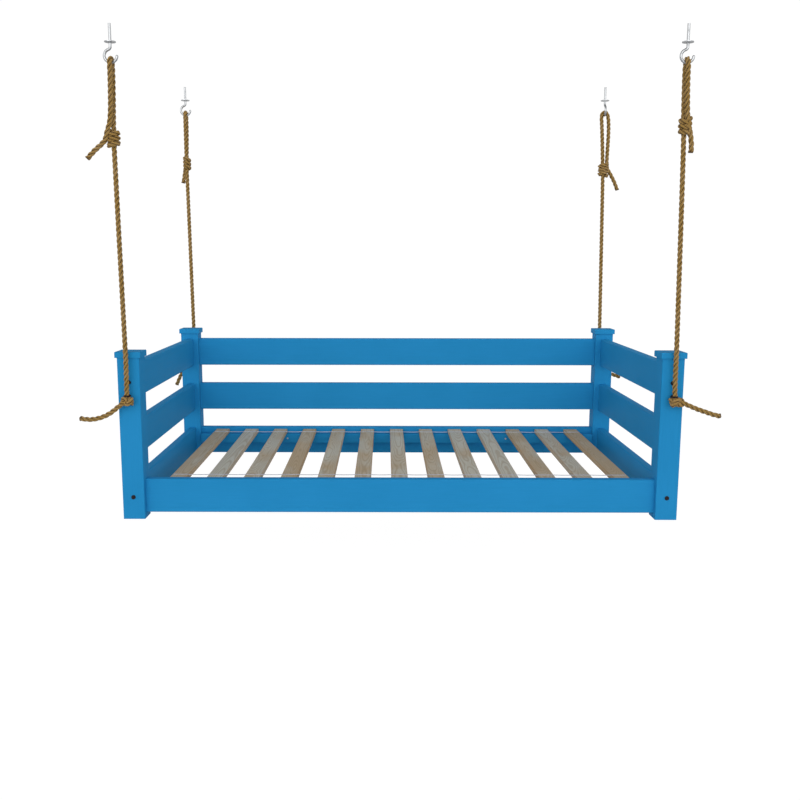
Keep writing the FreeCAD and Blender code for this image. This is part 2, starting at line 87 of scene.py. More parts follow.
# ---------------------------------------------------------------- shader building
class Wire:
    """An output of a shader node that takes part in arithmetic."""

    def __init__(self, tree: "NodeTree", socket: bpy.types.NodeSocket) -> None:
        """Wrap a socket, the output of a node in that tree."""
        self.tree = tree
        self.socket = socket

    def _math(self, operation: str, *values: "Operand") -> "Wire":
        """Add a Math node.

        Args:
            operation: the node's operation.
            values: its inputs, in order.

        Returns:
            The node's value.
        """
        node = self.tree.add("ShaderNodeMath", {"operation": operation}, dict(enumerate(values)))
        return node["Value"]

    def __add__(self, other: "Operand") -> "Wire":
        """self + other."""
        return self._math("ADD", self, other)

    __radd__ = __add__

    def __sub__(self, other: "Operand") -> "Wire":
        """self - other."""
        return self._math("SUBTRACT", self, other)

    def __rsub__(self, other: "Operand") -> "Wire":
        """other - self."""
        return self._math("SUBTRACT", other, self)

    def __mul__(self, other: "Operand") -> "Wire":
        """self * other."""
        return self._math("MULTIPLY", self, other)

    __rmul__ = __mul__

    def __truediv__(self, other: "Operand") -> "Wire":
        """self / other."""
        return self._math("DIVIDE", self, other)

    def __rtruediv__(self, other: "Operand") -> "Wire":
        """other / self."""
        return self._math("DIVIDE", other, self)

    def __abs__(self) -> "Wire":
        """abs(self)."""
        return self._math("ABSOLUTE", self)

    def floor(self) -> "Wire":
        """The whole number at or below this value."""
        return self._math("FLOOR", self)

    def sine(self) -> "Wire":
        """The sine of this value in radians."""
        return self._math("SINE", self)

    def root(self) -> "Wire":
        """The square root of this value."""
        return self._math("SQRT", self)

    def between(self, low: float, high: float, start: float = 0.0, end: float = 1.0) -> "Wire":
        """Ease from start, below low, to end, above high."""
        node = self.tree.add("ShaderNodeMapRange", {"interpolation_type": "SMOOTHSTEP"}, {
            "Value": self, "From Min": low, "From Max": high, "To Min": start, "To Max": end})
        return node["Result"]


Operand = Union[Wire, Number]


class Outputs:
    """The outputs of one node, by name."""

    def __init__(self, tree: "NodeTree", node: bpy.types.Node) -> None:
        """Keep the node that the outputs belong to."""
        self.tree = tree
        self.node = node

    def __getitem__(self, name: str) -> Wire:
        """The output of that name that is in use."""
        return Wire(self.tree, next(s for s in self.node.outputs if s.name == name and s.enabled))


class NodeTree:
    """The node tree of a material or a world, built up one node at a time."""

    def __init__(self, tree: bpy.types.NodeTree) -> None:
        """Start with an empty tree."""
        self.tree = tree
        self.tree.nodes.clear()

    def add(self, kind: str, settings: dict[str, Any] | None = None,
            inputs: dict[Union[int, str], Any] | None = None) -> Outputs:
        """Add any node.

        Args:
            kind: the node's type.
            settings: its properties, set first.
            inputs: values or wires for its sockets, by name or number.

        Returns:
            The node's outputs.
        """
        node = self.tree.nodes.new(kind)
        for name, value in (settings or {}).items():
            setattr(node, name, value)
        for name, value in (inputs or {}).items():
            self.feed(self._input(node, name), value)
        return Outputs(self, node)

    @staticmethod
    def _input(node: bpy.types.Node, name: Union[int, str]) -> bpy.types.NodeSocket:
        """The input of that number or name that is in use."""
        if isinstance(name, int):
            return node.inputs[name]
        return next(s for s in node.inputs if s.name == name and s.enabled)

    def feed(self, socket: bpy.types.NodeSocket, value: Any) -> None:
        """Feed one input.

        Args:
            socket: the input.
            value: a wire to link to it, or its own value; a colour has three numbers.
        """
        if isinstance(value, Wire):
            self.tree.links.new(value.socket, socket)
        elif isinstance(value, tuple) and len(value) == 3 and socket.type == "RGBA":
            socket.default_value = (*value, 1)
        else:
            socket.default_value = value

    def parts(self, vector: Wire) -> tuple[Wire, Wire, Wire]:
        """A vector's three values."""
        split = self.add("ShaderNodeSeparateXYZ", inputs={"Vector": vector})
        return split["X"], split["Y"], split["Z"]

    def seen(self) -> Wire:
        """1 where the camera looks and 0 where light is gathered."""
        return self.add("ShaderNodeLightPath")["Is Camera Ray"]

    def either(self, share: Operand, first: Wire, second: Wire) -> Wire:
        """A surface between two."""
        return self.add("ShaderNodeMixShader", inputs={0: share, 1: first, 2: second})["Shader"]


class Shader(NodeTree):
    """A material with a Principled surface."""

    def __init__(self, name: str) -> None:
        """Make the material of that name."""
        self.material = bpy.data.materials.new(name)
        self.material.use_nodes = True
        super().__init__(self.material.node_tree)
        self.surface = self.tree.nodes.new("ShaderNodeBsdfPrincipled")
        self.output = self.tree.nodes.new("ShaderNodeOutputMaterial")
        self.tree.links.new(self.surface.outputs["BSDF"], self.output.inputs["Surface"])

    def place(self) -> Wire:
        """The surface point in the row's frame."""
        return self.add("ShaderNodeTexCoord")["Object"]

    def painted(self, name: str) -> Wire:
        """A value that the mesh carries at each vertex."""
        return self.add("ShaderNodeAttribute", {"attribute_name": name})["Fac"]

    def join(self, x: Operand, y: Operand, z: Operand) -> Wire:
        """A vector from three values."""
        return self.add("ShaderNodeCombineXYZ", inputs={"X": x, "Y": y, "Z": z})["Vector"]

    def stretch(self, vector: Wire, by: Sequence[float]) -> Wire:
        """A vector times another."""
        node = self.add("ShaderNodeVectorMath", {"operation": "MULTIPLY"}, {0: vector, 1: tuple(by)})
        return node["Vector"]

    def noise(self, vector: Wire, scale: float, detail: float = 3.0, rough: float = 0.55) -> Wire:
        """Soft noise about 0.5."""
        node = self.add("ShaderNodeTexNoise", inputs={
            "Vector": vector, "Scale": scale, "Detail": detail, "Roughness": rough})
        return node["Fac"]

    def chance(self, value: Wire) -> Wire:
        """A number from 0 to 1 that is different for each value."""
        return self.add("ShaderNodeTexWhiteNoise", {"noise_dimensions": "1D"}, {"W": value})["Value"]

    def mix(self, share: Operand, first: Any, second: Any) -> Wire:
        """A colour between two."""
        node = self.add("ShaderNodeMix", {"data_type": "RGBA"}, {"Factor": share, "A": first, "B": second})
        return node["Result"]

    def bump(self, height: Wire, depth: float) -> None:
        """Raise the surface by a height, in metres at height 1."""
        node = self.add("ShaderNodeBump", inputs={"Height": height, "Distance": depth, "Strength": 1.0})
        self.feed(self.surface.inputs["Normal"], node["Normal"])

    def finish(self, **values: Any) -> bpy.types.Material:
        """Set the Principled shader's sockets.

        Args:
            values: socket values by name, with underscores for spaces.

        Returns:
            The material.
        """
        for name, value in values.items():
            self.feed(self.surface.inputs[name.replace("_", " ")], value)
        return self.material


# ---------------------------------------------------------------- finishes
class Run(Enum):
    """Which way a board's grain and brush marks run."""

    ALONG_X = 0
    ALONG_Y = 1
    UPRIGHT = 2


@dataclass(frozen=True)
class SatinPaint:
    """Satin blue paint over timber: faint brush marks along the board, a little uneven."""

    run: Run
    blue: Colour = srgb(37, 139, 197)
    deep: Colour = srgb(33, 134, 190)
    drawn_out: float = 22.0     # how much longer a brush mark is than wide
    relief: float = 0.12 * MM

    def make(self) -> bpy.types.Material:
        """Build the material.

        Returns:
            The paint.
        """
        shader = Shader("paint_" + self.run.name.lower())
        place = shader.place()
        along = [1.0 if axis == self.run.value else self.drawn_out for axis in range(3)]
        strokes = shader.noise(shader.stretch(place, along), 9.0, 4.0, 0.6)
        cloudy = shader.noise(place, 3.5, 2.0)
        orange_peel = shader.noise(place, 420.0, 2.0)
        uneven = (strokes * 0.6 + cloudy * 0.6).between(0.35, 0.85)
        shader.bump(strokes * 0.7 + orange_peel * 0.3, self.relief)
        return shader.finish(
            Base_Color=shader.mix(uneven, self.deep, self.blue), Roughness=0.45 + strokes * 0.16,
            Specular_IOR_Level=0.05)


@dataclass(frozen=True)
class WeatheredSlat:
    """Bare greyed timber with brown arrises, with a different board for each slat."""

    middle: float           # of the first slat, along X
    pitch: float
    width: float
    top: float
    thick: float
    grey: Colour = srgb(190, 186, 172)
    pale: Colour = srgb(206, 204, 192)
    warm: Colour = srgb(184, 154, 112)
    late_wood: Colour = srgb(158, 136, 104)
    rust: Colour = srgb(166, 118, 70)
    ring: float = 5.2 * MM      # one year's growth
    pith: float = 30 * MM       # how deep under the top the tree's middle runs
    weave: float = 12 * MM      # how far that depth comes and goes along a slat
    worn: float = 4 * MM        # the brown band beside an arris
    relief: float = 0.3 * MM

    def make(self) -> bpy.types.Material:
        """Build the material.

        Returns:
            The wood of all the slats.
        """
        shader = Shader("weathered_slat")
        x, y, z = shader.parts(shader.place())
        steps = (x - self.middle) / self.pitch + 0.5
        board = steps.floor()
        across = (steps - board - 0.5) * self.pitch
        luck, other = shader.chance(board + 3.0), shader.chance(board * 1.7 + 40.0)
        shifted = shader.join(across, y + luck * 9.0, z + other * 3.0)
        drawn = shader.stretch(shifted, (1.0, 0.35, 1.0))
        wander = shader.noise(drawn, 7.0, 2.0) - 0.5
        swirl = wander * (0.015 + other * 0.06)
        depth = self.pith + self.weave * (y * 2.6 + luck * 6.0).sine() + (self.top - z) + swirl
        side = across + (other - 0.5) * 0.03 + wander * 0.02
        rings = ((side * side + depth * depth).root() * (2 * math.pi / self.ring)).sine()
        fibres = shader.noise(shader.stretch(shifted, (60.0, 1.2, 60.0)), 14.0, 4.0, 0.6)
        patches = shader.noise(drawn, 9.0)
        arris = abs(across).between(self.width / 2 - self.worn, self.width / 2 - 0.15 * self.worn)
        deep = (self.top - z).between(0.0, 3 * MM)
        foot = (self.top - z).between(self.thick * 0.55, self.thick * 0.95)
        late = rings.between(0.0, 1.0)
        colour = shader.mix(fibres.between(0.3, 0.75), self.grey, self.pale)
        colour = shader.mix((patches + (luck - 0.5) * 0.6).between(0.38, 0.80) * 0.7, colour, self.warm)
        colour = shader.mix(late * 0.42, colour, self.late_wood)
        colour = shader.mix(deep * 0.3, colour, self.warm)
        colour = shader.mix(arris * (1.0 - deep) * 0.6 + foot * 0.6, colour, self.rust)
        shader.bump(fibres * 0.6 - late * 0.5, self.relief)
        return shader.finish(
            Base_Color=colour, Roughness=0.72 + fibres * 0.2, Specular_IOR_Level=0.25)


@dataclass(frozen=True)
class RopeFibre:
    """Laid natural fibre: yarns slant across each strand; painted shade darkens the grooves between
    strands and painted highlights lighten the strands' crests.

    The rope's mesh carries where a point is: along in metres, across its strand from -1 to 1, and how
    near it is to a cut tip.
    """

    # painted highlight: the pale colour painted on the strands' crests
    crest: Colour = srgb(160, 126, 62)
    flank: Colour = srgb(108, 80, 28)
    # painted shade: the dark colour painted in the grooves between strands
    groove: Colour = srgb(46, 30, 10)
    bleached: Colour = srgb(178, 150, 108)
    scorched: Colour = srgb(60, 38, 20)
    yarn: float = 900.0         # radians of yarn to a metre of rope
    slant: float = 4.2          # radians of yarn from a strand's middle to its edge
    relief: float = 0.7 * MM

    def make(self) -> bpy.types.Material:
        """Build the material.

        Returns:
            The rope's finish.
        """
        shader = Shader("laid_fibre")
        along, across, tip = (shader.painted(name) for name in ("along", "across", "tip"))
        yarns = (along * self.yarn - across * self.slant).sine() * 0.5 + 0.5
        hairs = shader.noise(shader.join(along * 260.0 - across * 1.2, across * 9.0, 0.0), 4.0, 4.0, 0.65)
        patches = shader.noise(shader.place(), 26.0)
        # painted highlight: strands are painted paler towards their crests, darker towards their sides
        height = 1.0 - across * across
        colour = shader.mix(height.between(0.15, 0.95), self.flank, self.crest)
        colour = shader.mix(hairs.between(0.35, 0.8) * 0.55, colour, self.flank)
        colour = shader.mix(patches.between(0.35, 0.75) * 0.4, colour, self.bleached)
        # painted shade: the grooves between strands are painted nearly black
        colour = shader.mix(abs(across).between(0.5, 0.95) * 0.85, colour, self.groove)
        colour = shader.mix(tip.between(0.2, 0.9) * 0.75, colour, self.scorched)
        shader.bump(yarns * 0.5 + hairs * 0.6, self.relief)
        return shader.finish(Base_Color=colour, Roughness=0.85, IOR=1.4, Sheen_Weight=0.1)


@dataclass(frozen=True)
class GreyTape:
    """Thin woven tape, pale grey-blue."""

    light: Colour = srgb(214, 216, 226)
    dark: Colour = srgb(170, 174, 190)
    weft: float = 5200.0        # radians of weave to a metre
    warp: float = 7600.0
    relief: float = 0.12 * MM

    def make(self) -> bpy.types.Material:
        """Build the material.

        Returns:
            The tape's finish.
        """
        shader = Shader("woven_tape")
        x, y, _ = shader.parts(shader.place())
        weft = (x * self.weft).sine()
        warp = (y * self.warp).sine()
        weave = (weft * warp).between(-0.6, 0.6)
        soil = shader.noise(shader.place(), 30.0)
        colour = shader.mix(weave * 0.6 + soil * 0.4, self.dark, self.light)
        shader.bump(weave, self.relief)
        return shader.finish(Base_Color=colour, Roughness=0.8, IOR=1.4)


@dataclass(frozen=True)
class Steel:
    """Plain steel hardware, dull where it has been handled."""

    name: str
    colour: Colour
    stain: Colour
    metallic: float
    roughness: float
    relief: float = 0.08 * MM

    def make(self) -> bpy.types.Material:
        """Build the material.

        Returns:
            The metal.
        """
        shader = Shader(self.name)
        place = shader.place()
        blotch = shader.noise(place, 90.0, 4.0)
        scratch = shader.noise(shader.stretch(place, (30.0, 3.0, 30.0)), 40.0, 2.0)
        colour = shader.mix(blotch.between(0.45, 0.8), self.colour, self.stain)
        shader.bump(blotch * 0.5 + scratch * 0.5, self.relief)
        return shader.finish(
            Base_Color=colour, Metallic=self.metallic, Roughness=self.roughness + scratch * 0.2)


@dataclass(frozen=True)
class TurnedBeech:
    """Bare turned wood for the hidden dowels."""

    light: Colour = srgb(205, 170, 125)
    dark: Colour = srgb(176, 135, 90)
    relief: float = 0.1 * MM

    def make(self) -> bpy.types.Material:
        """Build the material.

        Returns:
            The wood.
        """
        shader = Shader("turned_beech")
        flecks = shader.noise(shader.stretch(shader.place(), (4.0, 4.0, 60.0)), 12.0)
        shader.bump(flecks, self.relief)
        return shader.finish(Base_Color=shader.mix(flecks, self.light, self.dark), Roughness=0.6)


def dress(name: str, material: bpy.types.Material) -> None:
    """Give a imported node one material.

    Args:
        name: the node.
        material: its finish.
    """
    mesh = frame["nodes"][name].data
    mesh.materials.clear()
    mesh.materials.append(material)


# ---------------------------------------------------------------- meshes and places
def placed(name: str, data: bpy.types.ID) -> bpy.types.Object:
    """Put new data into the scene as an object.

    Args:
        name: the object's name.
        data: its mesh, curve, light or camera.

    Returns:
        The object.
    """
    thing = bpy.data.objects.new(name, data)
    bpy.context.scene.collection.objects.link(thing)
    return thing


def skin(mesh: bmesh.types.BMesh, rows: Sequence[Sequence[bmesh.types.BMVert]]) -> None:
    """Stretch faces over a tube and close its two ends.

    Args:
        mesh: the mesh that holds the vertices.
        rows: its rings of vertices, each of the same number, right-handed about the way the tube runs.
    """
    for lower, upper in zip(rows, rows[1:]):
        for place in range(len(lower)):
            after = (place + 1) % len(lower)
            mesh.faces.new((lower[place], lower[after], upper[after], upper[place]))
    mesh.faces.new(rows[0][::-1])
    mesh.faces.new(rows[-1])


def new_piece(name: str, mesh: bmesh.types.BMesh, finish: str, smooth: bool) -> bpy.types.Object:
    """Turn a finished mesh into a piece.

    Args:
        name: the piece's name.
        mesh: its mesh, which is freed.
        finish: its finish.
        smooth: whether it is shaded smooth.

    Returns:
        The piece.
    """
    data = bpy.data.meshes.new(name)
    mesh.to_mesh(data)
    mesh.free()
    if smooth:
        data.shade_smooth()
    data.materials.append(FINISHES[finish])
    piece = placed(name, data)
    return piece


def joint_place(name: str) -> Vector:
    """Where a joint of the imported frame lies."""
    joints = frame["record"]["behaviour"]["joints"]
    return Vector(next(joint["pos_m"] for joint in joints if joint["name"] == name))


# ---------------------------------------------------------------- laid rope
def smooth_line(points: Sequence[Vector]) -> list[Vector]:
    """The smooth line that a route's given points control.

    Args:
        points: the route's control points.

    Returns:
        Close points along the NURBS spline.
    """
    curve = bpy.data.curves.new("route", "CURVE")
    curve.dimensions = "3D"
    curve.resolution_u = 24
    spline = curve.splines.new("NURBS")
    spline.points.add(len(points) - 1)
    for control, point in zip(spline.points, points):
        control.co = (*point, 1)
    spline.order_u = 3
    spline.use_endpoint_u = True
    carrier = placed("route", curve)
    bpy.context.view_layer.update()
    mesh = bpy.data.meshes.new_from_object(carrier)
    line = [vertex.co.copy() for vertex in mesh.vertices]
    bpy.data.objects.remove(carrier)
    bpy.data.curves.remove(curve)
    bpy.data.meshes.remove(mesh)
    return line


def evenly(line: Sequence[Vector], step: float) -> list[Vector]:
    """Points at even steps along a line.

    Args:
        line: the line's close points.
        step: about how far apart the new points are.

    Returns:
        The new points, the line's two ends included.
    """
    total = sum((b - a).length for a, b in zip(line, line[1:]))
    count = max(2, round(total / step))
    spacing = total / count
    spread, walked, due = [line[0].copy()], 0.0, spacing
    for start, end in zip(line, line[1:]):
        length = (end - start).length
        while length > 0 and due <= walked + length and len(spread) < count:
            spread.append(start.lerp(end, (due - walked) / length))
            due += spacing
        walked += length
    spread.append(line[-1].copy())
    return spread


class End(Enum):
    """How a length of rope ends."""

    ROUND = "round"     # a dome about the last point, which hides inside another piece
    CUT = "cut"         # a cut end, a little spread


@dataclass(frozen=True)
class Ring:
    """One ring of a rope's mesh."""

    centre: Vector
    normal: Vector
    side: Vector
    walked: float               # how far along the rope it is
    size: float = 1.0


@dataclass
class LaidRope:
    """A right-hand laid rope of three strands along any line."""

    diameter: float = 15 * MM   # what the rope measures on average
    girth: float = 18.8 * MM    # across the strands' crests
    lay: float = 60 * MM
    step: float = 2.5 * MM
    strands: int = 3
    facets: int = 7             # to a strand
    strand: float = 0.53        # a strand's radius, as a share of the rope's
    fray: float = 12 * MM       # how far a cut end spreads
    spread: float = 0.1         # how much wider it gets

    def _section(self) -> list[tuple[float, float, float]]:
        """One strand's share of the rope's outline.

        Returns:
            For each point, its angle from the strand's middle, its radius and its place across the
            strand from -1 to 1.
        """
        radius = self.girth / 2
        strand = self.strand * radius
        offset = radius - strand
        outline = []
        for number in range(self.facets):
            across = -1 + 2 * number / self.facets
            angle = across * math.pi / self.strands
            reach = offset * math.cos(angle)
            reach += math.sqrt(max(strand ** 2 - (offset * math.sin(angle)) ** 2, 0.0))
            outline.append((angle, reach, across))
        return outline

    def make(self, name: str, line: Sequence[Vector], ends: tuple[End, End]) -> bpy.types.Object:
        """Build the rope's mesh.

        Args:
            name: the piece's name.
            line: even points, where the middles of its rings are.
            ends: how its first and last end are finished.

        Returns:
            The new piece, with its finish.
        """
        rings = self._rings(line, ends)
        outline = [(2 * math.pi * strand / self.strands + angle, reach, across)
                   for strand in range(self.strands) for angle, reach, across in self._section()]
        mesh = bmesh.new()
        along_layer = mesh.verts.layers.float.new("along")
        across_layer = mesh.verts.layers.float.new("across")
        tip_layer = mesh.verts.layers.float.new("tip")
        last = rings[-1].walked
        rows = []
        for ring in rings:
            row = []
            turn = 2 * math.pi * ring.walked / self.lay
            tip = max(0.0, 1 - (last - ring.walked) / self.fray) if ends[1] is End.CUT else 0.0
            swell = ring.size * (1 + self.spread * min(tip, 1))
            for angle, reach, across in outline:
                way = ring.normal * math.cos(angle + turn) + ring.side * math.sin(angle + turn)
                vertex = mesh.verts.new(ring.centre + way * reach * swell)
                vertex[along_layer] = ring.walked
                vertex[across_layer] = across
                vertex[tip_layer] = tip
                row.append(vertex)
            rows.append(row)
        skin(mesh, rows)
        return new_piece(name, mesh, "rope", smooth=True)

    def _rings(self, middles: Sequence[Vector], ends: tuple[End, End]) -> list[Ring]:
        """Where each ring of the mesh lies, with no twist from one to the next.

        Args:
            middles: even points along the rope.
            ends: how its ends are finished.

        Returns:
            The rings in order, those that close the ends included.
        """
        first = (middles[1] - middles[0]).normalized()
        normal = Vector((1, 0, 0)) if abs(first.x) < 0.9 else Vector((0, 0, 1))
        normal = (normal - first * normal.dot(first)).normalized()
        rings, walked, heading = [], 0.0, first
        for number, centre in enumerate(middles):
            before, after = middles[max(number - 1, 0)], middles[min(number + 1, len(middles) - 1)]
            tangent = (after - before).normalized()
            normal = heading.rotation_difference(tangent) @ normal
            normal = (normal - tangent * normal.dot(tangent)).normalized()
            heading = tangent
            if number:
                walked += (centre - middles[number - 1]).length
            rings.append(Ring(centre, normal, tangent.cross(normal), walked))
        start = self._end(rings[0], -first, ends[0])
        finish = self._end(rings[-1], heading, ends[1])
        return start[::-1] + rings + finish

    def _end(self, ring: Ring, outward: Vector, kind: End) -> list[Ring]:
        """Close one end of the rope.

        Args:
            ring: its last whole ring.
            outward: the direction away from the rope.
            kind: how the end is finished.

        Returns:
            The rings that close it, from the rope outwards.
        """
        radius = self.girth / 2
        sign = 1 if outward.dot(ring.normal.cross(ring.side)) > 0 else -1
        if kind is End.ROUND:
            shape = [(math.sin(angle), 0.985 * math.cos(angle)) for angle in (0.02, 0.35, 0.7, 1.05, 1.35)]
        else:
            shape = [(0.15, 1.0), (0.25, 0.92), (0.28, 0.6), (0.24, 0.2)]
        return [Ring(ring.centre + outward * far * radius, ring.normal, ring.side,
                     ring.walked + sign * far * radius, size) for far, size in shape]


# ---------------------------------------------------------------- ropes of the swing
class Corner(Enum):
    """The four corners that the swing hangs by, each with its side and its end."""

    FRONT_LEFT = (-1, -1)
    FRONT_RIGHT = (1, -1)
    BACK_LEFT = (-1, 1)
    BACK_RIGHT = (1, 1)

    @property
    def label(self) -> str:
        """The start of the corner's node names."""
        return self.name.lower()

    @property
    def handed(self) -> int:
        """Which way the hitch's turns run: 1 at the front right and back left, -1 at the others."""
        side, end = self.value
        return 1 if side * end < 0 else -1


# Routes are millimetres from the hook's rod, or from the eye, and follow the bend at the cap.
OVER_HOOK = [(0, 16.5, -62), (0, 16.5, 13), (0, -16.5, 13), (0, -16.5, -62)]
HANG_ROUTES = {
    Corner.FRONT_LEFT: [(-2, 1, -312), (-3, 7, -230)] + OVER_HOOK
    + [(-5, -14, -194), (-22, -12, -238), (-28, -9, -262), (-46, -6, -279), (-71, -4, -298),
       (-96, -2, -324)],
    Corner.FRONT_RIGHT: [(4, 1, -270), (0, 7, -186)] + OVER_HOOK
    + [(6, -13, -176), (14, -10, -216), (23, -7, -240), (26, -5, -260), (30, -3, -280),
       (29, -2, -302)],
    Corner.BACK_LEFT: [(-2, -1, -283), (-2, -7, -202)] + [(x, -y, z) for x, y, z in OVER_HOOK]
    + [(-3, 13, -194), (-8, 11, -233), (-13, 10, -256), (-17, 9, -275), (-19, 9, -294),
       (-24, 8, -314)],
    Corner.BACK_RIGHT: [(4, 0, -310), (1, 0, -236), (-9, 0, -60), (-16.5, 0, 15), (16.5, 0, 15),
                        (24, 0, -66)]
    + [(19, 0, -208), (22, 2, -247), (36, 4, -266), (49, 5, -288), (63, 6, -313), (76, 6, -346)],
}
FOOT_ROUTES = {
    Corner.FRONT_LEFT: [(0, 0, -4), (-7, -2, -23), (-26, -5, -34), (-44, -8, -49), (-63, -11, -64),
                        (-89, -13, -77), (-119, -14, -85), (-146, -13, -87), (-172, -12, -83)],
    Corner.FRONT_RIGHT: [(0, 0, -4), (8, -2, -20), (33, -5, -23), (57, -8, -34), (89, -11, -47),
                         (120, -12, -57), (145, -12, -66), (167, -11, -70)],
    Corner.BACK_LEFT: [(0, 0, -4), (-7, 3, -23), (-27, 6, -33), (-49, 9, -48), (-67, 9, -67),
                       (-81, 8, -93), (-95, 7, -128)],
    Corner.BACK_RIGHT: [(0, 0, -4), (7, 3, -24), (25, 6, -40), (45, 9, -57), (67, 9, -72),
                        (89, 8, -79), (110, 7, -86)],
}


@dataclass(frozen=True)
class HitchShape:
    """The turns of one hitch, in millimetres from the hook's rod: centre, half widths and height."""

    centre: tuple[float, float]
    half: tuple[float, float]
    top: float
    start: float            # where the first turn starts, in turns from +X
    turns: float = 3.0
    pitch: float = 17.5
    points: int = 40        # to a turn, before the line is spaced evenly


HITCHES = {
    Corner.FRONT_LEFT: HitchShape((-4, 5), (16.0, 14.5), -228, 0.55),
    Corner.FRONT_RIGHT: HitchShape((6, 4), (15.5, 14.5), -186, 0.95),
    Corner.BACK_LEFT: HitchShape((-1, 0), (10.5, 16.5), -201, 0.55),
    Corner.BACK_RIGHT: HitchShape((4, 0), (17.5, 14.0), -228, 0.95),
}


@dataclass(frozen=True)
class KnotShape:
    """One stopper knot, in millimetres from the eye: middle, half sizes and how it is turned."""

    middle: tuple[float, float, float]
    turned: float           # in turns about the upright
    half: tuple[float, float, float] = (26, 23, 17)
    open: float = 0.02      # how far each end stops short of the whole knot, in turns
    points: int = 150


KNOTS = {
    Corner.FRONT_LEFT: KnotShape((1, 0, -20), 0.10),
    Corner.FRONT_RIGHT: KnotShape((8, 0, -21), 0.60, (31, 23, 17)),
    Corner.BACK_LEFT: KnotShape((-2, 0, -20), 0.35),
    Corner.BACK_RIGHT: KnotShape((2, 0, -20), 0.85),
}


@dataclass
class HangingRope:
    """One rope: its hanging line over the hook, its hitch, its foot line and its stopper knot."""

    corner: Corner
    rope: LaidRope = field(default_factory=LaidRope)

    def _node(self, part: str) -> str:
        """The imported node's name."""
        return f"{self.corner.label}_{part}"

    def bend(self) -> Vector:
        """Where the rope bends as the swing moves."""
        low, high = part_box(self._node("post"))
        return Vector(((low[0] + high[0]) / 2, self.hook().y, joint_place("frame_stays_level").z))

    def hook(self) -> Vector:
        """The point of the hook's rod that the rope hangs from."""
        return joint_place(self._node("rope_swing"))

    def eye(self) -> Vector:
        """The middle of the eye that the rope goes down through."""
        low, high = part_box("screw_eyes")
        bend = self.bend()
        return Vector((bend.x, bend.y, (low[2] + high[2]) / 2))

    def build(self) -> None:
        """Build the rope's pieces and say what they are."""
        bend, hook, eye = self.bend(), self.hook(), self.eye()
        route = [bend] + [hook + Vector(point) * MM for point in HANG_ROUTES[self.corner]]
        hanging = self._line("rope", route)
        hitch = self._hitch(hook)
        self._declare(hanging, [hitch], bend, "rope_" + self.corner.label)
        route = [bend] + [eye + Vector(point) * MM for point in FOOT_ROUTES[self.corner]]
        foot = self._line("foot_rope", route)
        knot = self._knot(eye)
        self._declare(foot, [knot], bend, "frame")

    def _line(self, part: str, route: Sequence[Vector]) -> tuple[bpy.types.Object, list[Vector]]:
        """Lay the rope along a route.

        Args:
            part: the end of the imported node's name.
            route: the route's control points.

        Returns:
            The piece and the centres of its rings.
        """
        line = evenly(smooth_line(route), self.rope.step)
        piece = self.rope.make(self._node(part + "_laid"), line, (End.ROUND, End.CUT))
        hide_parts(self._node(part))
        return piece, line

    def _turns(self, part: str, line: Sequence[Vector], node: str) -> bpy.types.Object:
        """Lay a hitch or a knot along its line.

        Args:
            part: the end of the piece's name.
            line: the line of its turns.
            node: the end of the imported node's name.

        Returns:
            The piece.
        """
        line = evenly(line, self.rope.step)
        piece = self.rope.make(self._node(part), line, (End.ROUND, End.ROUND))
        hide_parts(self._node(node))
        return piece

    def _hitch(self, hook: Vector) -> bpy.types.Object:
        """Wind the hitch round the standing line.

        Args:
            hook: the point that its shape is given from.

        Returns:
            The piece.
        """
        shape = HITCHES[self.corner]
        count = round(shape.turns * shape.points)
        line = []
        for number in range(count + 1):
            done = shape.turns * number / count
            angle = 2 * math.pi * (shape.start + self.corner.handed * done)
            line.append(hook + MM * Vector((
                shape.centre[0] + shape.half[0] * math.cos(angle),
                shape.centre[1] + shape.half[1] * math.sin(angle),
                shape.top - shape.pitch * done)))
        return self._turns("hitch_turns", line, "hitch")

    def _knot(self, eye: Vector) -> bpy.types.Object:
        """Tie an overhand stopper knot, drawn up tight under the eye.

        Args:
            eye: the point that its shape is given from.

        Returns:
            The piece.
        """
        shape = KNOTS[self.corner]
        inner = [half - self.rope.diameter / MM / 2 for half in shape.half]
        spin = 2 * math.pi * shape.turned
        line = []
        for number in range(shape.points + 1):
            turn = 2 * math.pi * (shape.open + (1 - 2 * shape.open) * number / shape.points)
            x = (math.sin(turn) + 2 * math.sin(2 * turn)) / 3
            y = (math.cos(turn) - 2 * math.cos(2 * turn)) / 3
            x, y = x * math.cos(spin) - y * math.sin(spin), x * math.sin(spin) + y * math.cos(spin)
            line.append(eye + MM * Vector((
                shape.middle[0] + inner[0] * x,
                shape.middle[1] + inner[1] * y,
                shape.middle[2] - inner[2] * math.sin(3 * turn))))
        return self._turns("knot_tied", line, "knot")

    def _declare(self, laid: tuple[bpy.types.Object, list[Vector]],
                 others: Sequence[bpy.types.Object], start: Vector, body: str) -> None:
        """Say what a length of rope is and what it rides on.

        Args:
            laid: the rope's piece and its line.
            others: the knot or hitch on it.
            start: where it leaves the rest of the rope; not used.
            body: the body that it moves with.
        """
        piece, line = laid
        length = sum((b - a).length for a, b in zip(line, line[1:]))
        tuple(start)
        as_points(line)
        for moving in (piece, *others):
            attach(moving, body)
        LOG.info("%s: %.0f mm of rope on %s", piece.name, length / MM, body)


# ---------------------------------------------------------------- timber and hardware
@dataclass
class TimberFrame:
    """Posts, caps, rails and cleats, all in the same paint."""

    def dress(self) -> None:
        """Paint every board with its marks along it."""
        for name in frame["nodes"]:
            if name.endswith(("_post", "_cap")):
                dress(name, FINISHES["paint_upright"])
            elif name.startswith(("left_", "right_")) and name.endswith("_rail"):
                dress(name, FINISHES["paint_along_y"])
            elif name.endswith(("_rail", "_cleat")):
                dress(name, FINISHES["paint_along_x"])
        LOG.info("painted the frame")


